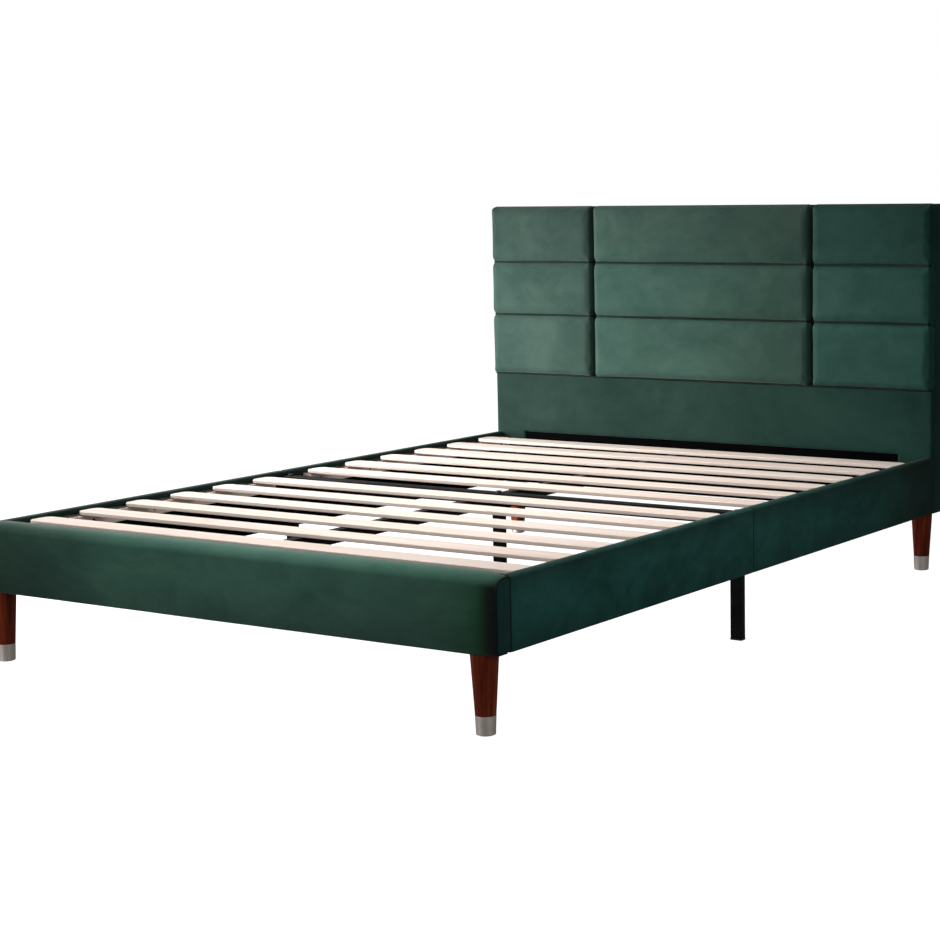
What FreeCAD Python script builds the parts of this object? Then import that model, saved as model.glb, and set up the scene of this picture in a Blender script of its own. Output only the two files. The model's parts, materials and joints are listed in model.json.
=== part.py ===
import FreeCAD, Part
import math
import os

# Upholstered double bed: a padded headboard, a foot rail and two split side rails round a slatted base.
# Millimetres. +X across the width, +Y towards the head, +Z up.
# Origin: middle of the overall footprint, on the floor.

# ---- driving dimensions ----
mattress_width = 1400.0
mattress_length = 2000.0
side_rail_thick = 25.0
foot_rail_thick = 56.0
headboard_thick = 70.0
leg_height = 163.0
side_rail_top = 317.0
foot_rail_top = 323.0
headboard_top = 1004.0

# slatted base
slat_width = 68.0
slat_thick = 9.0
slat_top = 312.0
slat_length = 1385.0
slats_per_half = 6
slat_end_radius = 20.0
front_slat_start = 66.0
front_slat_pitch = 153.5
rear_slat_start = 1054.0
rear_slat_pitch = 157.5
joint_distance = 984.0
strap_thick = 1.3
strap_width = 22.0
ledger_width = 27.0
ledger_height = 30.0
ledger_joint_gap = 73.0

# side rail layers
velvet_outer = 4.5
velvet_inner = 3.5
lining_thick = 1.5
rail_joint_gap = 0.6

# foot rail layers
foot_board_thick = 28.0
foot_pad_front = 20.0
foot_end_panel = 4.0

# headboard layers
pad_proud = 13.0
pad_seat = 8.0
front_board_thick = 6.0
edge_cover_thick = 6.0
back_cloth_thick = 1.5
timber_width = 60.0
pad_bottom = 501.0
groove_x = 360.0
groove_gap = 3.0
pad_overhang = 1.0
inset_half_width = 620.0
inset_top = 322.0

# turned legs
leg_top_radius = 29.0
ferrule_top_radius = 21.4
leg_foot_radius = 19.8
ferrule_height = 40.0
ferrule_wall = 0.8
glide_height = 3.0
leg_inset = 47.0
leg_bolt_radius = 4.0

# steel frame under the slats
bar_depth = 30.0
bar_height = 30.0
bar_top = 305.0
beam_width = 25.0
beam_height = 30.0
tube_wall = 1.5
tube_x = 30.0
tube_y = 20.0
cap_height = 8.0
plate_thick = 3.0
bolt_radius = 4.0
bolt_head_radius = 7.0
bolt_head_height = 4.5
screw_radius = 2.2
screw_head_radius = 4.0

# ---- derived places ----
overall_width = mattress_width + 2 * side_rail_thick
overall_length = foot_rail_thick + mattress_length + headboard_thick
half_width = overall_width / 2
foot_front = -overall_length / 2
foot_back = foot_front + foot_rail_thick
head_front = foot_back + mattress_length
head_back = overall_length / 2
joint_y = foot_back + joint_distance
rail_inner = half_width - side_rail_thick
board_outer = half_width - velvet_outer
board_inner = rail_inner + velvet_inner
board_bottom = leg_height + 2.0
board_top = side_rail_top - velvet_outer
lining_inner = board_inner - lining_thick
slat_bottom = slat_top - slat_thick
ledger_top = slat_bottom - strap_thick
ledger_bottom = ledger_top - ledger_height
ledger_inner = rail_inner - ledger_width
flap_bottom = ledger_top + 1.0
bar_bottom = bar_top - bar_height
beam_top = slat_bottom - 0.3
beam_bottom = beam_top - beam_height
support_x = rail_inner - 18.5
leg_x = half_width - leg_inset
foot_leg_y = foot_front + leg_top_radius
head_leg_y = head_front + headboard_thick / 2

os.makedirs("parts", exist_ok=True)


def vec(x, y, z):
    return FreeCAD.Vector(x, y, z)


def block(x0, x1, y0, y1, z0, z1):
    low = vec(min(x0, x1), min(y0, y1), min(z0, z1))
    return Part.makeBox(abs(x1 - x0), abs(y1 - y0), abs(z1 - z0), low)


def rod(radius, start, direction, length):
    return Part.makeCylinder(radius, length, start, direction)


def round_edges(shape, radius, wanted):
    edges = [edge for edge in shape.Edges if wanted(edge)]
    return shape.makeFillet(radius, edges)


def drill(shape, tools):
    # cuts the tools that reach the shape
    for tool in tools:
        if tool.BoundBox.intersect(shape.BoundBox):
            shape = shape.cut(tool)
    return shape


def runs_along(edge, axis):
    box = edge.BoundBox
    spans = {"x": box.XLength, "y": box.YLength, "z": box.ZLength}
    length = spans.pop(axis)
    return length > 1.0 and max(spans.values()) < 0.01


def save(name, shape):
    shape.exportStep("parts/" + name + ".step")


def save_group(name, shapes):
    save(name, Part.makeCompound(shapes))


SIDES = (("left", -1), ("right", 1))
HALVES = ("front", "rear")


def half_span(half):
    # Y range of one half of a split side rail
    if half == "front":
        return foot_back, joint_y - rail_joint_gap / 2
    return joint_y + rail_joint_gap / 2, head_front


def ledger_span(half):
    if half == "front":
        return foot_back + 12.0, joint_y - ledger_joint_gap
    return joint_y + ledger_joint_gap, head_front - 12.0


def slat_starts():
    front = [foot_back + front_slat_start + front_slat_pitch * i for i in range(slats_per_half)]
    rear = [foot_back + rear_slat_start + rear_slat_pitch * i for i in range(slats_per_half)]
    return front, rear


# ---- slats ----
def slat(y_start):
    shape = block(-slat_length / 2, slat_length / 2, y_start, y_start + slat_width, slat_bottom, slat_top)
    shape = round_edges(shape, slat_end_radius, lambda edge: runs_along(edge, "z"))
    return round_edges(shape, 2.0, lambda edge: not runs_along(edge, "z"))


def slats():
    front, rear = slat_starts()
    for number, y_start in enumerate(front + rear, 1):
        save("slat_%02d" % number, slat(y_start))


def slat_straps():
    # webbing that keeps each set of six slats in step, lying on the ledgers under the slat ends
    strips = []
    inner = rail_inner - strap_width - 2.0
    for starts in slat_starts():
        for side, sign in SIDES:
            strips.append(block(sign * inner, sign * (inner + strap_width), starts[0] + 6.0,
                                starts[-1] + slat_width - 6.0, ledger_top, slat_bottom))
    save_group("slat_straps", strips)


# ---- side rails ----
def side_rail_board(sign, half):
    y0, y1 = half_span(half)
    return block(sign * board_inner, sign * board_outer, y0, y1, board_bottom, board_top)


def side_rail_cover(sign, half):
    # padded outer face, top, and a flap down the inside to the ledger
    y0, y1 = half_span(half)
    shape = block(sign * rail_inner, sign * half_width, y0, y1, leg_height, side_rail_top)
    shape = round_edges(shape, 7.0, lambda edge: runs_along(edge, "y")
                        and edge.BoundBox.ZMin > side_rail_top - 1)
    pocket = block(sign * board_inner, sign * board_outer, y0, y1, board_bottom, board_top)
    inside = block(sign * (rail_inner - 1), sign * board_inner, y0, y1, leg_height - 1, flap_bottom)
    return shape.cut(pocket).cut(inside)


def side_rail_lining(sign, half):
    y0, y1 = half_span(half)
    return block(sign * lining_inner, sign * board_inner, y0 + 1, y1 - 1, board_bottom, flap_bottom - 0.5)


def ledger(sign, half):
    y0, y1 = ledger_span(half)
    shape = block(sign * ledger_inner, sign * lining_inner, y0, y1, ledger_bottom, ledger_top)
    return round_edges(shape, 1.5, lambda edge: runs_along(edge, "y"))


def ledger_mid():
    return (ledger_top + ledger_bottom) / 2


def ledger_screw_places(half):
    y0, y1 = ledger_span(half)
    count = 5
    step = (y1 - y0 - 80.0) / (count - 1)
    return [y0 + 40.0 + step * i for i in range(count)]


def ledger_screws():
    screws = []
    for side, sign in SIDES:
        for half in HALVES:
            for y in ledger_screw_places(half):
                start = vec(sign * (ledger_inner - 1.2), y, ledger_mid())
                head = rod(screw_head_radius, start, vec(sign, 0, 0), 1.2)
                shank = rod(screw_radius, vec(sign * ledger_inner, y, ledger_mid()), vec(sign, 0, 0), 38.0)
                screws.append(head.fuse(shank))
    return screws


def side_rails():
    screws = ledger_screws()
    holes = screws + joint_bolts() + corner_bolts()
    linings = [drill(foot_rail_lining(), holes)]
    for side, sign in SIDES:
        for half in HALVES:
            save("side_rail_board_%s_%s" % (side, half), drill(side_rail_board(sign, half), holes))
            save("side_rail_cover_%s_%s" % (side, half), drill(side_rail_cover(sign, half), holes))
            save("slat_ledger_%s_%s" % (side, half), drill(ledger(sign, half), screws))
            linings.append(drill(side_rail_lining(sign, half), holes))
    save_group("rail_linings", linings)
    save_group("ledger_screws", screws)


# ---- foot rail ----
def foot_rail_profile(inset):
    # section in the YZ plane: upright front with a large soft radius, slightly crowned top
    front = foot_front + inset
    back = foot_back - inset
    low = leg_height + inset
    crown = foot_rail_top - inset
    shoulder = side_rail_top - inset
    radius = 16.0
    start = vec(0, front, low)
    upper = vec(0, front, shoulder - radius)
    knee = vec(0, front + radius * (1 - math.cos(math.pi / 4)), shoulder - radius * (1 - math.sin(math.pi / 4)))
    top = vec(0, front + radius, shoulder + 1.5)
    ridge = vec(0, (front + back) / 2 + 8.0, crown)
    rear = vec(0, back, shoulder - 2.0)
    bottom = vec(0, back, low)
    edges = [
        Part.makeLine(start, upper),
        Part.Arc(upper, knee, top).toShape(),
        Part.Arc(top, ridge, rear).toShape(),
        Part.makeLine(rear, bottom),
        Part.makeLine(bottom, start),
    ]
    return Part.Face(Part.Wire(edges))


def foot_board_box():
    y0 = foot_front + foot_pad_front
    return block(-half_width + 8.0, half_width - 8.0, y0, y0 + foot_board_thick, board_bottom, board_top - 4.0)


def foot_rail_cover():
    # foam and velvet over the front, the top and a flap down the back
    length = overall_width - 2 * foot_end_panel
    shape = foot_rail_profile(0.0).extrude(vec(length, 0, 0))
    shape.translate(vec(-length / 2, 0, 0))
    pocket = foot_board_box()
    back = block(-half_width, half_width, foot_front + foot_pad_front + foot_board_thick, foot_back + 5,
                 leg_height - 1, flap_bottom)
    return shape.cut(pocket).cut(back)


def foot_rail_end_panel(sign):
    # flat stitched panel that closes the end of the foot rail
    shape = foot_rail_profile(0.6).extrude(vec(foot_end_panel, 0, 0))
    start = half_width - foot_end_panel if sign > 0 else -half_width
    shape.translate(vec(start, 0, 0))
    return shape


def foot_rail_lining():
    y0 = foot_front + foot_pad_front + foot_board_thick
    return block(-rail_inner + 8, rail_inner - 8, y0, y0 + lining_thick, board_bottom, flap_bottom - 0.5)


def foot_rail():
    holes = leg_bolts() + corner_bolts()
    save("foot_rail_board", drill(foot_board_box(), holes))
    save("foot_rail_cover", drill(foot_rail_cover(), holes))
    save_group("foot_rail_end_panels", [foot_rail_end_panel(sign) for side, sign in SIDES])


# ---- headboard ----
frame_front = head_front + pad_seat + front_board_thick
frame_back = head_back - back_cloth_thick
frame_outer = half_width - edge_cover_thick
frame_low = leg_height + 3.0
frame_high = headboard_top - edge_cover_thick - 2.0


def headboard_frame():
    # softwood timbers: two stiles, three cross rails and two uprights behind the grooves
    inner = frame_outer - timber_width
    timbers = []
    for side, sign in SIDES:
        timbers.append(block(sign * inner, sign * frame_outer, frame_front, frame_back, frame_low, frame_high))
    low_rail = (frame_low, frame_low + timber_width)
    middle_rail = (pad_bottom - timber_width / 2, pad_bottom + timber_width / 2)
    top_rail = (frame_high - timber_width, frame_high)
    for z0, z1 in (low_rail, middle_rail, top_rail):
        timbers.append(block(-inner, inner, frame_front, frame_back, z0, z1))
    for side, sign in SIDES:
        timbers.append(block(sign * (groove_x - 20), sign * (groove_x + 20), frame_front, frame_back,
                             middle_rail[1], top_rail[0]))
    holes = leg_bolts() + corner_bolts()
    return [drill(timber, holes) for timber in timbers]


def headboard_front_board():
    y0 = head_front + pad_seat
    board = block(-frame_outer, frame_outer, y0, y0 + front_board_thick, frame_low, frame_high)
    return drill(board, corner_bolts())


def headboard_pad(x0, x1):
    y0 = head_front - pad_proud
    shape = block(x0, x1, y0, head_front + pad_seat, pad_bottom, headboard_top)
    return round_edges(shape, 10.0, lambda edge: edge.BoundBox.YMax < y0 + 0.01)


def headboard_lower_cover():
    # flat velvet panel below the pads, cut out where the black cloth shows
    cover = block(-half_width, half_width, head_front, head_front + pad_seat, leg_height, pad_bottom - 0.6)
    window = block(-inset_half_width, inset_half_width, head_front - 1, head_front + pad_seat + 1,
                   leg_height - 1, inset_top)
    return drill(cover.cut(window), corner_bolts())


def headboard_inset_cloth():
    return block(-inset_half_width + 0.3, inset_half_width - 0.3, head_front + 2.0, head_front + pad_seat,
                 leg_height + 1, inset_top - 0.3)


def headboard_edge_cover():
    # velvet band round both sides and the top, open at the bottom for the legs
    y0 = head_front + pad_seat
    y1 = head_back - back_cloth_thick
    shape = block(-half_width, half_width, y0, y1, leg_height, headboard_top - 2)
    shape = round_edges(shape, 8.0, lambda edge: runs_along(edge, "y")
                        and edge.BoundBox.ZMin > headboard_top - 5)
    inside = block(-frame_outer, frame_outer, y0 - 1, y1 + 1, leg_height - 1, frame_high)
    return shape.cut(inside)


def headboard_back_cloth():
    return block(-half_width + 3, half_width - 3, head_back - back_cloth_thick, head_back,
                 leg_height + 3, headboard_top - 5)


def headboard():
    save_group("headboard_frame", headboard_frame())
    save("headboard_front_board", headboard_front_board())
    edge = half_width + pad_overhang
    save("headboard_pad_left", headboard_pad(-edge, -groove_x - groove_gap / 2))
    save("headboard_pad_centre", headboard_pad(-groove_x + groove_gap / 2, groove_x - groove_gap / 2))
    save("headboard_pad_right", headboard_pad(groove_x + groove_gap / 2, edge))
    save("headboard_lower_cover", headboard_lower_cover())
    save("headboard_inset_cloth", headboard_inset_cloth())
    save("headboard_edge_cover", headboard_edge_cover())
    save("headboard_back_cloth", headboard_back_cloth())


# ---- turned wooden legs ----
def leg_places():
    places = []
    for row, y in (("front", foot_leg_y), ("rear", head_leg_y)):
        for side, sign in SIDES:
            places.append(("%s_%s" % (row, side), sign * leg_x, y))
    return places


def cone(x, y, z0, z1, r0, r1):
    return Part.makeCone(r0, r1, z1 - z0, vec(x, y, z0), vec(0, 0, 1))


def leg_bolt(x, y):
    return rod(leg_bolt_radius, vec(x, y, leg_height - 55.0), vec(0, 0, 1), 90.0)


def leg_bolts():
    return [leg_bolt(x, y) for name, x, y in leg_places()]


def wooden_leg(x, y):
    body = cone(x, y, ferrule_height, leg_height, ferrule_top_radius - 0.1, leg_top_radius)
    spigot = cone(x, y, glide_height + 1, ferrule_height,
                  leg_foot_radius - ferrule_wall - 0.1, ferrule_top_radius - ferrule_wall - 0.1)
    return body.fuse(spigot).cut(leg_bolt(x, y))


def leg_ferrule(x, y):
    outer = cone(x, y, 1.5, ferrule_height - 0.3, leg_foot_radius, ferrule_top_radius)
    inner = cone(x, y, 1.5, ferrule_height - 0.3, leg_foot_radius - ferrule_wall,
                 ferrule_top_radius - ferrule_wall)
    return outer.cut(inner)


def leg_glide(x, y):
    return cone(x, y, 0.0, glide_height + 0.9, leg_foot_radius - 3.0, leg_foot_radius - 2.0)


def legs():
    for name, x, y in leg_places():
        save("leg_" + name, wooden_leg(x, y))
        save("leg_ferrule_" + name, leg_ferrule(x, y))
    save_group("leg_glides", [leg_glide(x, y) for name, x, y in leg_places()])
    save_group("leg_bolts", leg_bolts())


# ---- steel frame ----
joint_plate_x = rail_inner - plate_thick
bar_end = joint_plate_x - 0.3
bolt_rows = (bar_top - 13.0, 222.0)
joint_plate_half = 60.0
corner_leg = 55.0
corner_low = 185.0
corner_high = 255.0


def headed_bolt(start, direction, length):
    # flat round head outside the start point, shank inside it
    head = rod(bolt_head_radius, start, direction * -1, bolt_head_height)
    head = round_edges(head, 1.5, lambda edge: (edge.BoundBox.Center - start).Length > bolt_head_height - 0.1
                       and edge.BoundBox.DiagonalLength > bolt_head_radius)
    return head.fuse(rod(bolt_radius, start, direction, length))


def joint_bolts():
    # two each side of every split; the upper row also holds the end plates of the cross bar
    bolts = []
    for side, sign in SIDES:
        for offset in (-42.0, 42.0):
            for z, x in zip(bolt_rows, (bar_end - plate_thick, joint_plate_x)):
                start = vec(sign * x, joint_y + offset, z)
                bolts.append(headed_bolt(start, vec(sign, 0, 0), 20.0))
    return bolts


def corner_bolts():
    # one into each arm of the four corner angles
    bolts = []
    for side, sign in SIDES:
        for y_face, direction in ((foot_back, 1), (head_front, -1)):
            for z in (203.0, 237.0):
                arm = y_face + direction * 38.0
                start = vec(sign * (lining_inner - plate_thick), arm, z)
                bolts.append(headed_bolt(start, vec(sign, 0, 0), 18.0))
                face = corner_face(direction)
                start = vec(sign * (lining_inner - 38.0), face + direction * plate_thick, z)
                bolts.append(headed_bolt(start, vec(0, -direction, 0), 24.0))
    return bolts


def corner_face(direction):
    # Y of the surface that a corner angle's second arm lies on
    if direction > 0:
        return foot_front + foot_pad_front + foot_board_thick + lining_thick
    return head_front


def corner_brackets():
    brackets = []
    for side, sign in SIDES:
        for direction in (1, -1):
            face = corner_face(direction)
            end = (foot_back if direction > 0 else head_front) + direction * corner_leg
            side_arm = block(sign * (lining_inner - plate_thick), sign * lining_inner, face, end,
                             corner_low, corner_high)
            end_arm = block(sign * (lining_inner - corner_leg), sign * lining_inner, face,
                            face + direction * plate_thick, corner_low, corner_high)
            brackets.append(drill(side_arm.fuse(end_arm).removeSplitter(), corner_bolts()))
    return brackets


def rail_joint_plates():
    plates = []
    for side, sign in SIDES:
        plate = block(sign * joint_plate_x, sign * rail_inner, joint_y - joint_plate_half,
                      joint_y + joint_plate_half, 205.0, bar_top + 2.0)
        plate = round_edges(plate, 8.0, lambda edge: runs_along(edge, "x"))
        plates.append(drill(plate, joint_bolts()))
    return plates


def tube(x0, x1, y0, y1, z0, z1, axis):
    outer = block(x0, x1, y0, y1, z0, z1)
    outer = round_edges(outer, 2.0, lambda edge: runs_along(edge, axis))
    w = tube_wall
    pads = {"x": (0, w, w), "y": (w, 0, w), "z": (w, w, 0)}[axis]
    inner = block(x0 + pads[0], x1 - pads[0], y0 + pads[1], y1 - pads[1], z0 + pads[2], z1 - pads[2])
    return outer.cut(inner)


def bar_bolts():
    # one down through the bar into each support leg
    bolts = []
    for x in (-support_x, 0.0, support_x):
        bolts.append(headed_bolt(vec(x, joint_y, bar_top), vec(0, 0, -1), bar_height + 8.0))
    return bolts


def cross_bar():
    inner = bar_end - plate_thick
    shape = tube(-inner, inner, joint_y - bar_depth / 2, joint_y + bar_depth / 2, bar_bottom, bar_top, "x")
    for side, sign in SIDES:
        shape = shape.fuse(block(sign * inner, sign * bar_end, joint_y - 54.0, joint_y + 54.0,
                                 bar_bottom, bar_top))
    return drill(shape, bar_bolts() + joint_bolts())


def centre_beam(y0, y1):
    return tube(-beam_width / 2, beam_width / 2, y0, y1, beam_bottom, beam_top, "y")


def saddle(y_face, direction):
    # folded steel seat that carries the end of a centre beam
    half = beam_width / 2 + 0.4
    depth = direction * 32.0
    low = beam_bottom - 0.2
    inner = y_face + direction * plate_thick
    back = block(-half - 12, half + 12, y_face, inner, low - plate_thick - 14, beam_top - 2)
    floor = block(-half - 2, half + 2, y_face, y_face + depth, low - 2, low)
    cheeks = [block(sign * half, sign * (half + 2), y_face, y_face + depth, low - 2, beam_top - 6)
              for side, sign in SIDES]
    return back.fuse(floor).fuse(cheeks[0]).fuse(cheeks[1])


def support_leg(x):
    low = cap_height - 4.0
    high = bar_bottom - 2.0
    shape = tube(x - tube_x / 2, x + tube_x / 2, joint_y - tube_y / 2, joint_y + tube_y / 2, low, high, "z")
    top = block(x - tube_x / 2, x + tube_x / 2, joint_y - bar_depth / 2, joint_y + bar_depth / 2,
                high, bar_bottom)
    return drill(shape.fuse(top), bar_bolts())


def support_leg_cap(x):
    foot = block(x - tube_x / 2 - 0.6, x + tube_x / 2 + 0.6, joint_y - tube_y / 2 - 0.6,
                 joint_y + tube_y / 2 + 0.6, 0.0, cap_height - 4.0)
    foot = round_edges(foot, 2.5, lambda edge: runs_along(edge, "z"))
    foot = round_edges(foot, 1.0, lambda edge: edge.BoundBox.ZMax < 0.01)
    gap = tube_wall + 0.1
    plug = block(x - tube_x / 2 + gap, x + tube_x / 2 - gap, joint_y - tube_y / 2 + gap,
                 joint_y + tube_y / 2 - gap, cap_height - 4.0, cap_height + 10.0)
    return foot.fuse(plug)


def steel_frame():
    save("cross_bar", cross_bar())
    foot_face = corner_face(1)
    bar_front = joint_y - bar_depth / 2
    bar_back = joint_y + bar_depth / 2
    save("centre_beam_front", centre_beam(foot_face + plate_thick + 0.5, bar_front - plate_thick - 0.5))
    save("centre_beam_rear", centre_beam(bar_back + plate_thick + 0.5, head_front - plate_thick - 0.5))
    saddles = [saddle(foot_face, 1), saddle(bar_front, -1), saddle(bar_back, 1), saddle(head_front, -1)]
    save_group("beam_saddles", saddles)
    for side, x in (("left", -support_x), ("centre", 0.0), ("right", support_x)):
        save("support_leg_" + side, support_leg(x))
    save_group("support_leg_caps", [support_leg_cap(x) for x in (-support_x, 0.0, support_x)])
    save_group("rail_joint_plates", rail_joint_plates())
    save_group("corner_brackets", corner_brackets())
    save_group("frame_bolts", joint_bolts() + corner_bolts() + bar_bolts())


slats()
slat_straps()
side_rails()
foot_rail()
headboard()
legs()
steel_frame()
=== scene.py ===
import json
import math

import bmesh
import bpy
import numpy as np
from mathutils import Matrix, Vector


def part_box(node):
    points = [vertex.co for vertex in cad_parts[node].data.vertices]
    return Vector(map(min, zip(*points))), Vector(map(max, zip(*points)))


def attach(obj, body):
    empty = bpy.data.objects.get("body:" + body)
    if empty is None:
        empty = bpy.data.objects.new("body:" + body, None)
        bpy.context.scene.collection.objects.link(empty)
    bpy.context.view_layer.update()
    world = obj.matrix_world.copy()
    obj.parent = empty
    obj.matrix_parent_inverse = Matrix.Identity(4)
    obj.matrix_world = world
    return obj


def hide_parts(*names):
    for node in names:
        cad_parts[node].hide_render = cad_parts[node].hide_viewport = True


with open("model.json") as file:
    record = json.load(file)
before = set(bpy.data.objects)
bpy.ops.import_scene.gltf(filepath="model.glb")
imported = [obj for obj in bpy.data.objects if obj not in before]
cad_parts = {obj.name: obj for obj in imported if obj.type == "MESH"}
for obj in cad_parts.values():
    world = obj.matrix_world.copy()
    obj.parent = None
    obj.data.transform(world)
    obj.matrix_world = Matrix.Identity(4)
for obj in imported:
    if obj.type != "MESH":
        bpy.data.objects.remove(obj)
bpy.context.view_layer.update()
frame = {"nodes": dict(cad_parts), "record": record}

# Upholstered bed in metres: +X across, +Y towards the head, +Z up. Soft pieces stand for the CAD's plain
# covers, pads and cloths; wood and steel are the CAD's own solids with better materials.

MM = 0.001
SIDES = (("left", -1), ("right", 1))
PADS = ("left", "centre", "right")
PAD_SEED = 10
HALVES = ("front", "rear")
BODY = "root"


# ---------------------------------------------------------------- meshes
def swell(a, b, seed, size):
    """Smooth repeatable unevenness, about -1 to 1, whose swells are about size across."""
    rng = np.random.default_rng(seed)
    total = 0.0
    for _ in range(7):
        angle = rng.uniform(0, 2 * math.pi)
        rate = 2 * math.pi / size * rng.uniform(0.55, 1.6)
        phase = rng.uniform(0, 2 * math.pi)
        total = total + np.sin(rate * (a * math.cos(angle) + b * math.sin(angle)) + phase)
    return total / 3.0


def rounding(distance, radius, power=2.2):
    """0 at an edge, rising to 1 at radius from it, along a soft quarter round."""
    rest = 1 - np.clip(distance / radius, 0, 1)
    return (1 - rest**power) ** (1 / power)


def spaced(a, b, step, bunch=0.75):
    """Lines from a to b about step apart, bunched towards both ends."""
    count = max(4, int(round((b - a) / step)))
    t = np.linspace(0, 1, count + 1)
    eased = 0.5 - 0.5 * np.cos(math.pi * t)
    return a + (b - a) * (bunch * eased + (1 - bunch) * t)


def fine_ends(a, b, end, step, count, bunch):
    """Lines from a to b, even in the middle and about step apart over the length end at both ends."""
    return joined(spaced(a, a + end, step, bunch), np.linspace(a + end, b - end, count),
                  spaced(b - end, b, step, bunch))


def joined(*runs):
    """Runs of lines end to end, with each shared line once."""
    parts = [runs[0]] + [run[1:] for run in runs[1:]]
    return np.concatenate(parts)


def make(name, points, faces, material):
    mesh = bpy.data.meshes.new(name)
    mesh.from_pydata([tuple(p) for p in np.asarray(points, float)], [], [tuple(f) for f in faces])
    mesh.polygons.foreach_set("use_smooth", [True] * len(mesh.polygons))
    mesh.materials.append(material)
    mesh.update()
    piece = bpy.data.objects.new(name, mesh)
    bpy.context.scene.collection.objects.link(piece)
    return piece


def grid_faces(rows, columns, keep=None):
    faces = []
    for i in range(rows - 1):
        for j in range(columns - 1):
            if keep is None or keep[i, j]:
                k = i * columns + j
                faces.append((k, k + 1, k + columns + 1, k + columns))
    return faces


def closed_shell(front, back, faces):
    """Points and faces of a closed form: a front skin, a back skin with the same layout, and the rim between."""
    count = len(front)
    edges = dict.fromkeys((a, b) for face in faces for a, b in zip(face, face[1:] + face[:1]))
    rim = [(b, a, a + count, b + count) for a, b in edges if (b, a) not in edges]
    rear = [tuple(k + count for k in reversed(face)) for face in faces]
    used = np.unique(np.array(faces).ravel())
    used = np.concatenate([used, used + count])
    place = {int(k): i for i, k in enumerate(used)}
    points = np.concatenate([front, back])[used]
    return points, [tuple(place[k] for k in face) for face in faces + rear + rim]


def slab(front, back, keep=None):
    """Points and faces of a closed form between two skins, each given as grids of x, y and z."""
    skins = [np.stack(skin, -1).reshape(-1, 3) for skin in (front, back)]
    return closed_shell(*skins, grid_faces(*front[0].shape, keep))


def quarter(count):
    """Sine and cosine at even steps round a quarter turn, without its start."""
    return [(math.sin(angle), math.cos(angle)) for angle in np.linspace(0, math.pi / 2, count)[1:]]


def full_turn(count):
    return [(math.sin(angle), math.cos(angle)) for angle in np.linspace(0, 2 * math.pi, count, endpoint=False)]


def loft(rings):
    """Points and faces of a skin over closed rings, each an array of the same number of points, with both ends
    closed."""
    count, size = len(rings), len(rings[0])
    faces = []
    for i in range(count - 1):
        for j in range(size):
            a, b = i * size + j, i * size + (j + 1) % size
            faces.append((a, b, b + size, a + size))
    faces.append(tuple(reversed(range(size))))
    faces.append(tuple(range((count - 1) * size, count * size)))
    return np.concatenate(rings), faces


def bar_between(start, end, radius, sides=6):
    """Points and faces of a short round bar with rounded ends."""
    start, end = np.array(start, float), np.array(end, float)
    axis = (end - start) / np.linalg.norm(end - start)
    across = np.cross(axis, (0.31, 0.55, 0.77))
    across /= np.linalg.norm(across)
    over = np.cross(axis, across)
    tip = 0.45
    rings = []
    for centre, size in ((start, tip), (start + axis * radius, 1), (end - axis * radius, 1), (end, tip)):
        rings.append(np.array([centre + radius * size * (across * c + over * s) for s, c in full_turn(sides)]))
    return loft(rings)


def together(parts):
    """Points and faces of several separate forms as one."""
    points, faces, count = [], [], 0
    for part_points, part_faces in parts:
        points.append(part_points)
        faces += [tuple(k + count for k in face) for face in part_faces]
        count += len(part_points)
    return np.concatenate(points), faces


def face_out(piece):
    """Turns every face outwards."""
    form = bmesh.new()
    form.from_mesh(piece.data)
    bmesh.ops.recalc_face_normals(form, faces=form.faces)
    form.to_mesh(piece.data)
    form.free()


def settle(piece, slot, *nodes):
    """Rides the piece on the bed and hides the CAD nodes it stands for; slot is not used."""
    face_out(piece)
    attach(piece, BODY)
    if nodes:
        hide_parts(*nodes)
    return piece


def cover(name, form, material, cad):
    """Velvet over foam, from its points and faces, standing for one CAD node."""
    settle(make(name, *form, material), "velvet", cad)


def trim(name, form, material):
    """A narrow sewn detail on the velvet."""
    settle(make(name, *form, material), "velvet")


# ---------------------------------------------------------------- materials
def blank(name):
    material = bpy.data.materials.new(name)
    material.use_nodes = True
    nodes = material.node_tree.nodes
    shader = nodes["Principled BSDF"] if "Principled BSDF" in nodes else nodes.new("ShaderNodeBsdfPrincipled")
    return material, material.node_tree, shader


def node(tree, kind, **values):
    """A node with its settings and inputs set by name, or linked where the value is another node's output."""
    made = tree.nodes.new("ShaderNode" + kind)
    for key, value in values.items():
        if hasattr(made, key):
            setattr(made, key, value)
            continue
        socket = made.inputs[int(key[1:])] if key[0] == "_" else made.inputs[key.replace("_", " ")]
        if isinstance(value, bpy.types.NodeSocket):
            tree.links.new(value, socket)
        else:
            socket.default_value = value
    return made


def object_place(tree, scale=(1, 1, 1)):
    """Coordinates fixed to the piece, in metres, stretched by scale."""
    place = node(tree, "TexCoord")
    return node(tree, "Mapping", Vector=place.outputs["Object"], Scale=scale).outputs["Vector"]


def noise(tree, vector, scale, detail=3.0, roughness=0.55, distortion=0.0):
    made = node(tree, "TexNoise", Vector=vector, Scale=scale, Detail=detail, Roughness=roughness,
                Distortion=distortion)
    return made.outputs["Fac"]


def even(value):
    """The colour itself, or a number as an even grey."""
    return value if isinstance(value, tuple) else (value, value, value)


def tone(colour, share):
    return tuple(channel * share for channel in colour)


def between(a, b):
    return tuple((c + d) / 2 for c, d in zip(a, b))


def ramp(tree, value, *stops):
    made = node(tree, "ValToRGB", Fac=value)
    points = made.color_ramp.elements
    while len(points) < len(stops):
        points.new(0.5)
    for point, (place, colour) in zip(points, stops):
        point.position = place
        point.color = (*even(colour), 1)
    return made.outputs["Color"]


def grey(tree, value, low, high, start=0.0, end=1.0):
    made = node(tree, "MapRange", Value=value)
    for key, number in (("From Min", start), ("From Max", end), ("To Min", low), ("To Max", high)):
        made.inputs[key].default_value = number
    return made.outputs["Result"]


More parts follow.
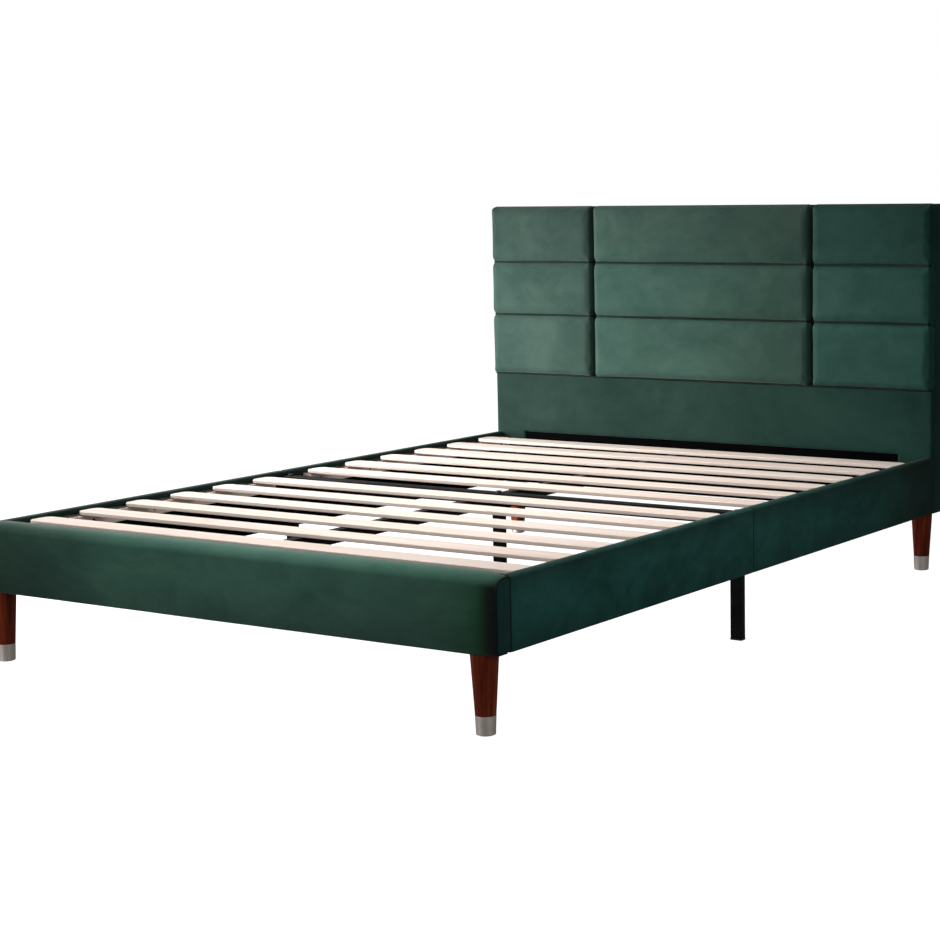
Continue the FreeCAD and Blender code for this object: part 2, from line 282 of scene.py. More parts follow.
def mix(tree, factor, a, b, blend="MIX"):
    made = node(tree, "Mix", data_type="RGBA", blend_type=blend)
    for socket, value in ((made.inputs[0], factor), (made.inputs[6], a), (made.inputs[7], b)):
        if isinstance(value, bpy.types.NodeSocket):
            tree.links.new(value, socket)
        else:
            socket.default_value = (*value, 1) if isinstance(value, tuple) else value
    return made.outputs[2]


def shaded(tree, colour, share):
    """The colour multiplied by a grey share."""
    same = node(tree, "CombineColor", Red=share, Green=share, Blue=share).outputs[0]
    return mix(tree, 1.0, colour, same, "MULTIPLY")


def math_of(tree, operation, a, b):
    return node(tree, "Math", operation=operation, _0=a, _1=b).outputs[0]


def bump(tree, height, strength, distance, below=None):
    values = {"Height": height, "Strength": strength, "Distance": distance}
    if below is not None:
        values["Normal"] = below
    return node(tree, "Bump", **values).outputs["Normal"]


def finish_with(tree, shader, colour, roughness, normal=None, **settings):
    """Links the shader's colour, roughness and normal, and sets other sockets to one value all over."""
    for name, value in (("Base Color", colour), ("Roughness", roughness), ("Normal", normal)):
        if value is not None:
            tree.links.new(value, shader.inputs[name])
    for name, value in settings.items():
        shader.inputs[name.replace("_", " ")].default_value = value


def drifted(tree, colour, axis, low, high, *stops, below=None):
    """The colour multiplied by a ramp that runs from low to high along one of the piece's own axes; with below,
    a pair of heights, the ramp fades out from the first to the second."""
    place = node(tree, "SeparateXYZ", Vector=node(tree, "TexCoord").outputs["Object"])
    share = grey(tree, place.outputs[axis], 0.0, 1.0, low, high)
    strength = grey(tree, place.outputs["Z"], 1.0, 0.0, *below) if below else 1.0
    return mix(tree, strength, colour, ramp(tree, share, *stops), "MULTIPLY")


def velvet(name, deep, bright, sheen, stretch=(1, 1, 1), seed=0.0, rim=0.2, drifts=(), corner=None):
    """Short pile: cloudy hand marks where the nap lies differently, a fine grainy pile, and a rim sheen painted into
    the colour towards grazing angles. The drifts paint light and shade into its tone along the piece's own axes;
    corner is one more drift of painted shade, with the heights between which it fades out."""
    material, tree, shader = blank(name)
    place = object_place(tree, stretch)
    plain = object_place(tree)
    shifted = node(tree, "Mapping", Vector=place, Location=(seed, seed * 0.7, -seed)).outputs["Vector"]
    clouds = noise(tree, shifted, 4.2, 4.0, 0.62, 0.8)
    strokes = noise(tree, shifted, 15.0, 3.0, 0.6, 1.2)
    nap = math_of(tree, "ADD", math_of(tree, "MULTIPLY", clouds, 0.68), math_of(tree, "MULTIPLY", strokes, 0.32))
    pile = noise(tree, plain, 950.0, 2.0, 0.7)
    threads = noise(tree, plain, 260.0, 2.0, 0.6)
    colour = ramp(tree, nap, (0.34, deep), (0.52, between(deep, bright)), (0.70, bright))
    colour = shaded(tree, colour, grey(tree, pile, 0.80, 1.22, 0.3, 0.7))
    # Painted sheen: a lighter colour mixed in towards grazing angles.
    facing = node(tree, "LayerWeight", Blend=0.32).outputs["Facing"]
    lifted = tuple(min(1.0, c * 2.1 + 0.006) for c in bright)
    colour = mix(tree, grey(tree, facing, 0.0, rim, 0.25, 1.0), colour, lifted)
    # The drifts paint light and shade into the colour.
    for drift in drifts:
        colour = drifted(tree, colour, *drift)
    if corner:
        colour = drifted(tree, colour, *corner[0], below=corner[1])
    soft = bump(tree, nap, 0.25, 4 * MM)
    soft = bump(tree, threads, 0.18, 0.5 * MM, soft)
    soft = bump(tree, pile, 0.30, 0.35 * MM, soft)
    finish_with(tree, shader, colour, grey(tree, nap, 0.95, 0.72, 0.3, 0.7), soft, Specular_IOR_Level=0.18,
                Sheen_Weight=sheen, Sheen_Roughness=0.5, Sheen_Tint=(*SHEEN_TINT, 1))
    return material


def lining_cloth(name, deep, light, specular):
    """Thin black non-woven cloth with pressed dots."""
    material, tree, shader = blank(name)
    place = object_place(tree)
    dots = node(tree, "TexVoronoi", Vector=place, Scale=420.0, Randomness=0.25).outputs["Distance"]
    fibre = noise(tree, place, 700.0, 3.0, 0.7)
    shade = noise(tree, place, 9.0, 3.0)
    colour = ramp(tree, shade, (0.3, deep), (0.7, light))
    relief = bump(tree, dots, 0.35, 0.4 * MM)
    relief = bump(tree, fibre, 0.25, 0.2 * MM, relief)
    finish_with(tree, shader, colour, grey(tree, fibre, 0.75, 0.95, 0.3, 0.7), relief, Specular_IOR_Level=specular)
    return material


def webbing(name):
    """Black woven tape: ribs across, fine twill along."""
    material, tree, shader = blank(name)
    place = object_place(tree)
    ribs = node(tree, "TexWave", Vector=place, Scale=210.0, Distortion=0.6, bands_direction="Y").outputs["Fac"]
    twill = node(tree, "TexWave", Vector=place, Scale=330.0, Distortion=0.8, bands_direction="DIAGONAL").outputs["Fac"]
    shade = noise(tree, place, 60.0, 2.0)
    colour = ramp(tree, shade, (0.3, (0.006, 0.006, 0.0065)), (0.7, (0.013, 0.0125, 0.013)))
    relief = bump(tree, ribs, 0.5, 0.4 * MM)
    relief = bump(tree, twill, 0.35, 0.25 * MM, relief)
    finish_with(tree, shader, colour, grey(tree, ribs, 0.6, 0.85), relief)
    return material


def pale_wood(name, light, warm, grain_scale, along="x", rough=0.55, streak=0.5):
    """Planed unfinished wood with streaks and pores along its length."""
    material, tree, shader = blank(name)
    stretch = {"x": (0.9, 26, 26), "y": (26, 0.9, 26)}[along]
    fine_stretch = tuple(s * 6 for s in stretch)
    place = object_place(tree, stretch)
    fine_place = object_place(tree, fine_stretch)
    grain = noise(tree, place, grain_scale, 5.0, 0.6, 0.35)
    pores = noise(tree, fine_place, 1.6, 3.0, 0.7)
    board = noise(tree, object_place(tree, (0.35, 5.2, 5.2) if along == "x" else (3, 3, 3)), 1.0, 1.0)
    colour = ramp(tree, grain, (0.36, warm), (0.55, between(light, warm)), (0.66, light))
    colour = mix(tree, grey(tree, board, 0.0, 0.45, 0.35, 0.65), colour, tone(light, 0.93))
    colour = shaded(tree, colour, grey(tree, pores, 1.0 - 0.16 * streak, 1.03, 0.3, 0.55))
    relief = bump(tree, pores, 0.22, 0.4 * MM)
    finish_with(tree, shader, colour, grey(tree, grain, rough - 0.08, rough + 0.12, 0.3, 0.7), relief,
                Specular_IOR_Level=0.12)
    return material


def panel_board(name):
    """Pressed board: short chips and fibres."""
    material, tree, shader = blank(name)
    place = object_place(tree, (1, 1, 1.6))
    chips = node(tree, "TexVoronoi", Vector=place, Scale=170.0, Randomness=1.0).outputs["Color"]
    fibre = noise(tree, place, 240.0, 4.0, 0.7)
    bits = node(tree, "SeparateColor", Color=chips).outputs[0]
    colour = ramp(tree, bits, (0.0, (0.36, 0.25, 0.15)), (0.5, (0.50, 0.37, 0.24)), (1.0, (0.62, 0.49, 0.34)))
    colour = mix(tree, grey(tree, fibre, 0.0, 0.4, 0.35, 0.65), colour, (0.30, 0.20, 0.12))
    finish_with(tree, shader, colour, grey(tree, fibre, 0.7, 0.9), bump(tree, fibre, 0.3, 0.4 * MM))
    return material


def walnut(name):
    """Dark red-brown stain over straight grain under a thin satin lacquer."""
    material, tree, shader = blank(name)
    place = object_place(tree, (32, 32, 1.5))
    fine_place = object_place(tree, (170, 170, 6))
    grain = noise(tree, place, 1.5, 6.0, 0.62, 0.8)
    pores = noise(tree, fine_place, 1.4, 3.0, 0.7)
    bands = noise(tree, object_place(tree, (11, 11, 0.8)), 1.0, 2.0)
    colour = ramp(tree, grain, (0.34, (0.080, 0.0095, 0.0036)), (0.52, (0.190, 0.0290, 0.0090)),
                  (0.68, (0.330, 0.0680, 0.0200)))
    colour = mix(tree, grey(tree, bands, 0.0, 0.5, 0.4, 0.7), colour, (0.120, 0.016, 0.006))
    colour = shaded(tree, colour, grey(tree, pores, 0.62, 1.05, 0.32, 0.5))
    finish_with(tree, shader, colour, grey(tree, grain, 0.30, 0.42, 0.3, 0.7), bump(tree, pores, 0.12, 0.25 * MM),
                Specular_IOR_Level=0.10, Coat_Weight=0.03, Coat_Roughness=0.25)
    return material


def brushed(name, light, dark, rough, stretch=(8, 8, 260)):
    """Plated metal with fine brush lines round it and faint handling marks."""
    material, tree, shader = blank(name)
    lines = noise(tree, object_place(tree, stretch), 6.0, 4.0, 0.7)
    marks = noise(tree, object_place(tree), 38.0, 4.0, 0.6)
    colour = ramp(tree, lines, (0.3, dark), (0.7, light))
    rough_value = math_of(tree, "ADD", grey(tree, lines, rough - 0.05, rough + 0.08, 0.3, 0.7),
                          grey(tree, marks, 0.0, 0.10, 0.5, 0.75))
    finish_with(tree, shader, colour, rough_value, bump(tree, lines, 0.15, 0.15 * MM), Metallic=1.0)
    return material


def powder_coat(name):
    """Black powder coat: fine orange peel, with dull rubbed patches."""
    material, tree, shader = blank(name)
    place = object_place(tree)
    peel = noise(tree, place, 420.0, 2.0, 0.5)
    rubs = noise(tree, object_place(tree, (6, 14, 14)), 1.6, 5.0, 0.65)
    colour = ramp(tree, rubs, (0.45, (0.0030, 0.0030, 0.0034)), (0.78, (0.0095, 0.0095, 0.0105)))
    finish_with(tree, shader, colour, grey(tree, rubs, 0.34, 0.50, 0.35, 0.7), bump(tree, peel, 0.22, 0.3 * MM),
                Specular_IOR_Level=0.14)
    return material


def moulded(name, deep, light):
    """Moulded plastic with a fine spark-eroded texture and scuffs."""
    material, tree, shader = blank(name)
    place = object_place(tree)
    texture = noise(tree, place, 900.0, 2.0, 0.6)
    scuffs = noise(tree, object_place(tree, (30, 30, 9)), 3.0, 5.0, 0.7)
    colour = ramp(tree, scuffs, (0.5, deep), (0.8, light))
    finish_with(tree, shader, colour, grey(tree, scuffs, 0.42, 0.62, 0.3, 0.7), bump(tree, texture, 0.25, 0.2 * MM))
    return material


def thread(name):
    """Twisted sewing thread a little darker than the velvet."""
    material, tree, shader = blank(name)
    place = object_place(tree)
    twist = node(tree, "TexWave", Vector=place, Scale=620.0, Distortion=0.4, bands_direction="DIAGONAL").outputs["Fac"]
    colour = ramp(tree, twist, (0.0, (0.0012, 0.0040, 0.0034)), (1.0, (0.0040, 0.0120, 0.0100)))
    finish_with(tree, shader, colour, grey(tree, twist, 0.5, 0.7), bump(tree, twist, 0.4, 0.2 * MM),
                Specular_IOR_Level=0.1)
    return material


def floor_sweep(name):
    """Pale studio floor lit through from below."""
    material, tree, shader = blank(name)
    shade = noise(tree, object_place(tree), 0.8, 2.0)
    colour = ramp(tree, shade, (0.3, 0.21), (0.7, 0.22))
    finish_with(tree, shader, colour, grey(tree, shade, 0.85, 0.9), Specular_IOR_Level=0.0,
                Emission_Color=(1, 1, 1, 1), Emission_Strength=1.0)
    return material


# ---------------------------------------------------------------- finishes
GREEN_DEEP = (0.0086, 0.0345, 0.0262)
GREEN_BRIGHT = (0.0178, 0.0580, 0.0440)
TEAL_DEEP = (0.0055, 0.0370, 0.0320)
TEAL_BRIGHT = (0.0115, 0.0610, 0.0525)
SHEEN_TINT = (0.74, 0.88, 0.77)
SEAM_SHARES = (0.355, 0.670)      # heights of the two sewn seams in each pad, as shares of its height


def pad_marks():
    """Heights of the pads' lower edge, their two seams and their top."""
    low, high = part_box("headboard_pad_centre")
    return [low.z] + [low.z + share * (high.z - low.z) for share in SEAM_SHARES] + [high.z]


def seam_shade(place, axis="Z", reach=9 * MM, depth=0.22):
    """Drift of painted shade in a seam at this place along the axis."""
    return (axis, place - reach, place + reach, (0.30, 1), (0.44, depth), (0.55, depth), (0.66, 1))


def shade_rows_above(seam, *colour):
    """Drift of painted shade over all of a pad that lies above one of its seams."""
    return ("Z", pad_marks()[seam] - 10 * MM, pad_marks()[seam] + 60 * MM, (0.0, 1), (1.0, colour))


def pad_lip_shade():
    """Drift of painted shade on the hanging lower edge of the pads."""
    edge = pad_marks()[0]
    return ("Z", edge - 8 * MM, edge + 12 * MM, (0.0, (0.05, 0.06, 0.06)), (0.30, (0.12, 0.14, 0.14)), (0.55, 0.80),
            (1.0, 1))


def rail_heights(*stops):
    """Drift over a rail's height, from its underside to its top."""
    low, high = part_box("side_rail_cover_right_front")
    return ("Z", low.z, high.z, *stops)


# Painted shade in the pads' two seams and on their hanging lower edge.
PAD_SHADES = (seam_shade(pad_marks()[1]), seam_shade(pad_marks()[2]), pad_lip_shade())
PAD_WEAVE = (0.9, 1.0, 1.1)
RAIL_WEAVE = (1.0, 1.0, 1.3)
FOOT_WEAVE = (0.8, 1.0, 1.5)
RAIL_START, RAIL_JOINT = (corner.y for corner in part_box("side_rail_cover_right_front"))

# Three copies of one velvet, their tones and sheen set to the light on each pad: painted light on the left, painted
# shade on the right. Their drifts add painted shade in the seams, under the lower edge, over the upper rows and
# towards each pad's right side.
VELVET_PADS_BY_LIGHT = {
    "left": velvet(
        "velvet_pads_left_painted_light", (0.0167, 0.0428, 0.0335), (0.0312, 0.0647, 0.0506), 0.16, PAD_WEAVE, 1.7, 0.10,
        PAD_SHADES + (shade_rows_above(2, 0.82, 0.82, 0.82), ("X", -0.72, -0.36, (0.88, 1), (1.0, (0.70, 0.74, 0.72))))),
    "centre": velvet(
        "velvet_pads_centre_painted_light", (0.0197, 0.0556, 0.0424), (0.0363, 0.0836, 0.0637), 0.16, PAD_WEAVE, 4.9, 0.10,
        PAD_SHADES + (shade_rows_above(2, 0.82, 0.78, 0.78),
                   ("X", -0.36, 0.36, (0.45, 1), (0.86, (0.68, 0.75, 0.72)), (0.95, (0.62, 0.70, 0.68)),
                    (1.0, (0.50, 0.58, 0.56))))),
    "right": velvet(
        "velvet_pads_right_painted_shade", tone(GREEN_DEEP, 1.42), tone(GREEN_BRIGHT, 1.26), 0.08, PAD_WEAVE, 7.3, 0.10,
        PAD_SHADES + (shade_rows_above(2, 0.40, 0.67, 0.66), shade_rows_above(1, 0.80, 0.87, 0.87),
                   ("X", 0.36, 0.72, (0.0, 1), (0.5, (0.84, 0.97, 0.97)), (1.0, (0.50, 0.80, 0.82))))),
}
# A darker copy of the pads' velvet for the recessed lower panel, painted shade; its drift paints light and shade
# across it.
VELVET_LOWER_SHADED = velvet(
    "velvet_lower_panel_painted_shade", tone(GREEN_DEEP, 0.74), tone(GREEN_BRIGHT, 0.67), 0.10, PAD_WEAVE, 3.3, 0.08,
    (("X", -0.72, 0.72, (0.05, (0.66, 0.73, 0.70)), (0.45, (0.76, 1.0, 0.95)), (0.9, (0.22, 0.85, 0.82))),))
# Painted light and shade along the foot rail: dark at its left end, full tone left of the middle, a little darker
# towards the right.
FOOT_ALONG_SHADE = (
    "X", -0.72, 0.72, (0.014, (0.05, 0.06, 0.06)), (0.020, (0.14, 0.34, 0.29)), (0.130, (0.16, 0.38, 0.33)),
    (0.215, (0.38, 0.56, 0.52)), (0.30, (0.97, 1.0, 0.97)), (0.597, 1), (0.869, (0.90, 0.93, 0.90)),
    (1.0, (0.82, 0.875, 0.80)))
# Painted shade towards the foot rail's underside.
FOOT_UP_SHADE = rail_heights((0.0, (0.72, 0.70, 0.70)), (0.15, (0.80, 0.78, 0.78)), (0.42, (1, 0.97, 0.97)), (0.70, 1))
# Painted shade where the foot rail's front curves back into its right end seam; it fades out over the top edge.
FOOT_END_SHADE = (
    "X", -0.72, 0.72, (0.905, 1), (0.932, (0.92, 0.97, 0.95)), (0.955, (0.70, 0.89, 0.79)),
    (0.971, (0.44, 0.79, 0.59)), (0.9815, (0.18, 0.43, 0.26)), (0.9905, 0.06))
# A brighter copy of the green velvet, its tone set to the light on the foot rail: painted light, with the painted
# light and shade of the drifts above.
VELVET_FOOT_LIT = velvet("velvet_foot_rail_painted_light", (0.0198, 0.0740, 0.0530), (0.0400, 0.1200, 0.0860), 0.18, FOOT_WEAVE, 5.1,
                     0.14, (FOOT_ALONG_SHADE, FOOT_UP_SHADE), (FOOT_END_SHADE, (0.299, 0.316)))
# Painted shade along the right rail: darkest next to the headboard, a little darker at the foot end.
RAIL_ALONG_SHADE = (
    "Y", -1.0, 0.98, (0.0, 0.82), (0.2, 1), (0.55, (0.98, 0.95, 0.95)), (0.73, (0.86, 0.88, 0.88)),
    (0.84, (0.78, 0.80, 0.78)), (0.91, (0.48, 0.41, 0.38)), (1.0, (0.25, 0.19, 0.18)))
# Painted light and shade over the rails' height: lighter across the middle of the face, darker at the underside and
# the top.
RAIL_UP_SHADE = rail_heights(
    (0.0, (0.78, 0.76, 0.72)), (0.12, (0.84, 0.82, 0.80)), (0.36, (1.12, 1.06, 1.04)), (0.64, (1.20, 1.06, 1.06)),
    (0.86, (0.88, 0.78, 0.74)), (1.0, (0.50, 0.44, 0.42)))
# Painted shade at the seam between the side rails and the foot rail's end, and at the rails' middle joint.
END_SEAM_SHADE = seam_shade(RAIL_START, "Y", 8 * MM, 0.35)
RAIL_SHADES = (RAIL_UP_SHADE, seam_shade(RAIL_JOINT, "Y", 8 * MM, 0.10), END_SEAM_SHADE)
# Lit and shaded copies of one velvet: the right rail's brighter, painted light, the left rail's darker, painted shade;
# both carry the painted light and shade over the rails' height and at their joints.
VELVET_SIDE_BY_LIGHT = {
    "right": velvet("velvet_rails_right_painted_light", (0.0066, 0.0575, 0.0485), (0.0195, 0.1300, 0.1100), 0.05, RAIL_WEAVE, 9.4,
                    0.08, (RAIL_ALONG_SHADE, *RAIL_SHADES)),
    "left": velvet("velvet_rails_left_painted_shade", (0.0062, 0.0300, 0.0245), (0.0125, 0.0520, 0.0430), 0.05, RAIL_WEAVE, 6.6,
                   0.08, RAIL_SHADES),
}


# Darker copies of the teal velvet: the share lowers its tone to paint shade.
def shaded_teal_velvet(name, share, sheen, seed, rim, drifts=()):
    return velvet(name, tone(TEAL_DEEP, share), tone(TEAL_BRIGHT, share), sheen, RAIL_WEAVE, seed, rim, drifts)


# Painted shade: a darker copy for the foot rail's end panels, with little sheen.
VELVET_END_SHADED = shaded_teal_velvet("velvet_foot_end_panels_painted_shade", 0.85, 0.02, 2.8, 0.0, (END_SEAM_SHADE,))
# Painted shade: a darker copy for the band round the headboard's sides and top.
VELVET_EDGE_SHADED = shaded_teal_velvet("velvet_edge_band_painted_shade", 0.68, 0.03, 6.2, 0.08)
# A near-black copy that paints the shade in grooves, seams and under edges; the strips and welts that wear it stand
# for that shade.
VELVET_PAINTED_SHADE = shaded_teal_velvet("velvet_tucked_painted_shade", 0.25, 0.0, 8.1, 0.0)
# A darker copy of the black cloth than the dust cover below, its tone lowered to paint shade on the linings and the
# headboard's inset.
BLACK_CLOTH_SHADED = lining_cloth("black_lining_cloth_painted_shade", 0.0008, 0.0018, 0.02)
DUST_COVER = lining_cloth("black_dust_cover", 0.010, 0.018, 0.25)
TAPE = webbing("black_webbing")
SLAT_WOOD = pale_wood("slat_poplar", (0.82, 0.700, 0.625), (0.74, 0.600, 0.515), 1.5, "x")
LEDGER_WOOD = pale_wood("ledger_softwood", (0.92, 0.77, 0.69), (0.82, 0.65, 0.56), 1.5, "y")
FRAME_WOOD = pale_wood("frame_softwood", (0.70, 0.54, 0.36), (0.56, 0.39, 0.23), 1.5, "x", 0.65, 1.0)
BOARD = panel_board("pressed_board")
WALNUT = walnut("walnut_stain")
NICKEL = brushed("brushed_nickel", (1.0, 0.89, 0.80), (0.86, 0.75, 0.67), 0.42)
ZINC = brushed("zinc_plate", (0.62, 0.62, 0.60), (0.42, 0.42, 0.42), 0.38, (60, 60, 60))
DARK_STEEL = brushed("black_oxide", (0.10, 0.10, 0.105), (0.045, 0.045, 0.05), 0.36, (60, 60, 60))
BLACK_STEEL = powder_coat("black_powder_coat")
BLACK_PLASTIC = moulded("black_cap_plastic", (0.008, 0.008, 0.009), (0.022, 0.022, 0.023))
NYLON = moulded("glide_nylon", (0.024, 0.024, 0.024), (0.05, 0.05, 0.05))
THREAD = thread("green_thread")
STAPLE = brushed("staple_steel", (0.55, 0.55, 0.55), (0.38, 0.38, 0.38), 0.3, (80, 80, 80))

SLOT_MATERIALS = {
    "slat_birch": SLAT_WOOD, "ledger_pine": LEDGER_WOOD, "panel_board": BOARD, "frame_timber": FRAME_WOOD,
    "walnut_stain": WALNUT, "nickel": NICKEL, "zinc_steel": ZINC, "dark_steel": DARK_STEEL,
    "black_steel": BLACK_STEEL, "black_plastic": BLACK_PLASTIC, "nylon": NYLON,
    "velvet": VELVET_LOWER_SHADED, "black_cloth": BLACK_CLOTH_SHADED, "webbing": TAPE,
}


def dress_cad_nodes():
    for row in frame["record"]["subparts"]:
        piece = frame["nodes"][row["node"]]
        material = SLOT_MATERIALS[row["material_slot"]]
        if not piece.material_slots:
            piece.data.materials.append(material)
        for slot in piece.material_slots:
            slot.material = material


# ---------------------------------------------------------------- headboard pads
PAD_FULL = 24 * MM                # thickness in the middle of a channel
PAD_SEAM = 9 * MM                 # thickness left at a seam
PAD_RIM = 1.6 * MM                # thickness of the pinned rim round a pad
PAD_STEP = 7.5 * MM               # spacing of the mesh
PAD_SAG = 7 * MM                  # how far the pads' lower edge hangs over the panel below
SEAM_TUCK = 18 * MM               # how far in front of a pad's back its pressed seams lie
SEAM_ROUND = 11 * MM              # widths of the soft rounding at the seams, top, lower edge and sides
EDGE_ROUND = 12 * MM
LOW_ROUND = 8 * MM
SIDE_ROUND = 9.5 * MM
SEAM_PINCH = 7.5 * MM             # how far a seam draws the pad's sides in
CORNER_ROUND = 14 * MM
STUFFING_CAP = 5 * MM             # most that stuffing may move a point
CLOTH_FRAMES = 20


def seam_wander(x, seed):
    """How far a sewn seam strays up or down along its length."""
    return swell(x, x * 0, seed + 7, 0.35) * 0.6 * MM


def pad_lines(low, high):
    x_lines = spaced(low.x, high.x, PAD_STEP, 0.55)
    marks = pad_marks()
    z_lines = joined(*[spaced(a, b, PAD_STEP * 0.85, 0.8) for a, b in zip(marks, marks[1:])])
    return x_lines, z_lines, marks


def to_seam(z, marks):
    """Distance up or down to the nearer of a pad's two seams."""
    return np.minimum(abs(z - marks[1]), abs(z - marks[2]))


def pad_thickness(x, z, low, high, marks):
    side = np.minimum(x - low.x, high.x - x)
    body = PAD_SEAM + (PAD_FULL - PAD_SEAM) * rounding(to_seam(z, marks), SEAM_ROUND, 2.1)
    body = body * rounding(high.z - z, EDGE_ROUND) * rounding(z - low.z, LOW_ROUND) * rounding(side, SIDE_ROUND)
    return np.maximum(body, PAD_RIM)


def pad_outline(x, z, low, high, marks):
    """Moves the pad's sides in at the seams and rounds its corners."""
    side = np.minimum(x - low.x, high.x - x)
    middle = (low.x + high.x) / 2
    end = np.minimum(z - low.z, high.z - z)
    draw = SEAM_PINCH * np.exp(-((to_seam(z, marks) / (11 * MM)) ** 2))
    rest = np.clip(1 - end / CORNER_ROUND, 0, 1)
    draw = draw + CORNER_ROUND * (1 - np.sqrt(1 - rest**2)) * 0.8
    fade = np.exp(-side / (16 * MM))
    return x + np.where(x < middle, 1, -1) * draw * fade


def inflate(points, faces, held):
    """Blows the closed form up a little like a stuffed cushion; held points stay where they are."""
    piece = make("inflating", points, faces, VELVET_PAINTED_SHADE)
    face_out(piece)
    group = piece.vertex_groups.new(name="held")
    group.add([int(i) for i in np.nonzero(held)[0]], 1.0, "ADD")
    cloth = piece.modifiers.new("Cloth", "CLOTH")
    settings = cloth.settings
    settings.quality = 6
    settings.mass = 0.25
    settings.tension_stiffness = settings.compression_stiffness = 10
    settings.shear_stiffness = 4
    settings.bending_stiffness = 4.0
    settings.vertex_group_mass = "held"
    settings.pin_stiffness = 1.0
    settings.shrink_min = -0.003
    settings.use_pressure = True
    settings.uniform_pressure_force = 4.0
    settings.effector_weights.gravity = 0.0
    cloth.collision_settings.use_collision = False
    cloth.collision_settings.use_self_collision = False
    scene = bpy.context.scene
    scene.frame_start, scene.frame_end = 1, CLOTH_FRAMES
    cloth.point_cache.frame_start, cloth.point_cache.frame_end = 1, CLOTH_FRAMES
    for step in range(1, CLOTH_FRAMES + 1):
        scene.frame_set(step)
    shown = piece.evaluated_get(bpy.context.evaluated_depsgraph_get())
    after = np.zeros(len(points) * 3)
    shown.data.vertices.foreach_get("co", after)
    mesh = piece.data
    bpy.data.objects.remove(piece)
    bpy.data.meshes.remove(mesh)
    scene.frame_set(1)
    moved = after.reshape(-1, 3) - points
    size = np.linalg.norm(moved, axis=1, keepdims=True)
    return points + moved * np.minimum(1, STUFFING_CAP / np.maximum(size, 1e-9))


def headboard_pad(side, seed):
    cad = "headboard_pad_" + side
    low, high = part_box(cad)
    x_lines, z_lines, marks = pad_lines(low, high)
    z, x = np.meshgrid(z_lines, x_lines, indexing="ij")
    thick = pad_thickness(x, z, low, high, marks)
    stuffed = thick > PAD_RIM * 1.01
    placed_x = pad_outline(x, z, low, high, marks)
    uneven = swell(x, z, seed, 0.16) * 0.7 * MM * rounding(np.minimum(x - low.x, high.x - x), 0.05)
    seam = to_seam(z, marks)
    pucker = swell(x, z * 0.15, seed + 40, 0.021) * 0.55 * MM * np.exp(-seam / (7 * MM))
    y_front = high.y - thick + np.where(stuffed, uneven + pucker, 0)
    wander = seam_wander(x, seed) * np.exp(-seam / (20 * MM))
    proud = np.clip((thick - 14 * MM) / (4 * MM), 0, 1)
    sag = PAD_SAG * proud * np.exp(-(z - low.z) / (10 * MM))
    z_placed = z + wander * stuffed - sag
    points, faces = slab((placed_x, y_front, z_placed), (placed_x, np.full_like(x, high.y), z_placed))
    pinned = (seam < 0.2 * MM) | ~stuffed
    held = np.concatenate([pinned.ravel(), np.ones(x.size, bool)])
    points = inflate(points, faces, held)
    piece = make(cad + "_stuffed", points, faces, VELVET_PADS_BY_LIGHT[side])
    rounder = piece.modifiers.new("Subdivision", "SUBSURF")
    rounder.levels = rounder.render_levels = 1
    settle(piece, "velvet", cad)


STRIP_THICK = 1.2 * MM
GROOVE_HALF = 11 * MM             # half widths of the strips in the deep grooves and in the sewn seams
TUCK_HALF = 3 * MM


def strip(x, y, z):
    return slab((x, y, z), (x, y + STRIP_THICK, z))


def headboard_groove_shade_strips():
    """Velvet drawn back to the board at the bottom of the two deep grooves, near-black to paint the shade in them."""
    strips = []
    for first, second in (("left", "centre"), ("centre", "right")):
        left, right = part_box("headboard_pad_" + first)[1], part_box("headboard_pad_" + second)[0]
        middle = (left.x + right.x) / 2
        x_lines = np.linspace(middle - GROOVE_HALF, middle + GROOVE_HALF, 9)
        z_lines = np.linspace(right.z + 3 * MM, left.z - 3 * MM, 60)
        z, x = np.meshgrid(z_lines, x_lines, indexing="ij")
        hollow = 0.5 * MM * np.cos((x - middle) / GROOVE_HALF * math.pi / 2)
        strips.append(strip(x, left.y - 2.2 * MM + hollow + swell(x, z, 3, 0.05) * 0.1 * MM, z))
    trim("headboard_groove_shade_strips", together(strips), VELVET_PAINTED_SHADE)


def headboard_seam_shade_tucks():
    """Velvet pressed together at the bottom of each pad's sewn seams, near-black to paint the shade in them."""
    strips = []
    for number, side in enumerate(PADS):
        low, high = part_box("headboard_pad_" + side)
        for mark in pad_marks()[1:3]:
            x_lines = np.linspace(low.x + 9 * MM, high.x - 9 * MM, int((high.x - low.x) / (6 * MM)))
            z_lines = np.linspace(mark - TUCK_HALF, mark + TUCK_HALF, 7)
            z, x = np.meshgrid(z_lines, x_lines, indexing="ij")
            y = high.y - SEAM_TUCK + 0.6 * MM * np.cos((z - mark) / TUCK_HALF * math.pi / 2)
            strips.append(strip(x, y, z + seam_wander(x, PAD_SEED + number)))
    trim("headboard_seam_shade_tucks", together(strips), VELVET_PAINTED_SHADE)


def headboard_joint_shade_welt():
    """Narrow welt along the joint, under the pads' hanging edge, near-black to paint the shadow there."""
    low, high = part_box("headboard_pad_left")[0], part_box("headboard_pad_right")[1]
    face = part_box("headboard_lower_cover")[0].y
    deep, tall = 2.6 * MM, 2.9 * MM
    rings = []
    for x in np.linspace(low.x + 3 * MM, high.x - 3 * MM, 240):
        middle = low.z - 2.0 * MM + 0.25 * MM * float(swell(np.array(x), np.array(0.0), 4, 0.2))
        rings.append(np.array([(x, face + 0.4 * MM - deep * c, middle + tall * s) for s, c in full_turn(12)]))
    trim("headboard_joint_shade_welt", loft(rings), VELVET_PAINTED_SHADE)


# ---------------------------------------------------------------- headboard panels
WINDOW_LAP = 1.0 * MM             # how far the panel laps over the black cloth in its slot


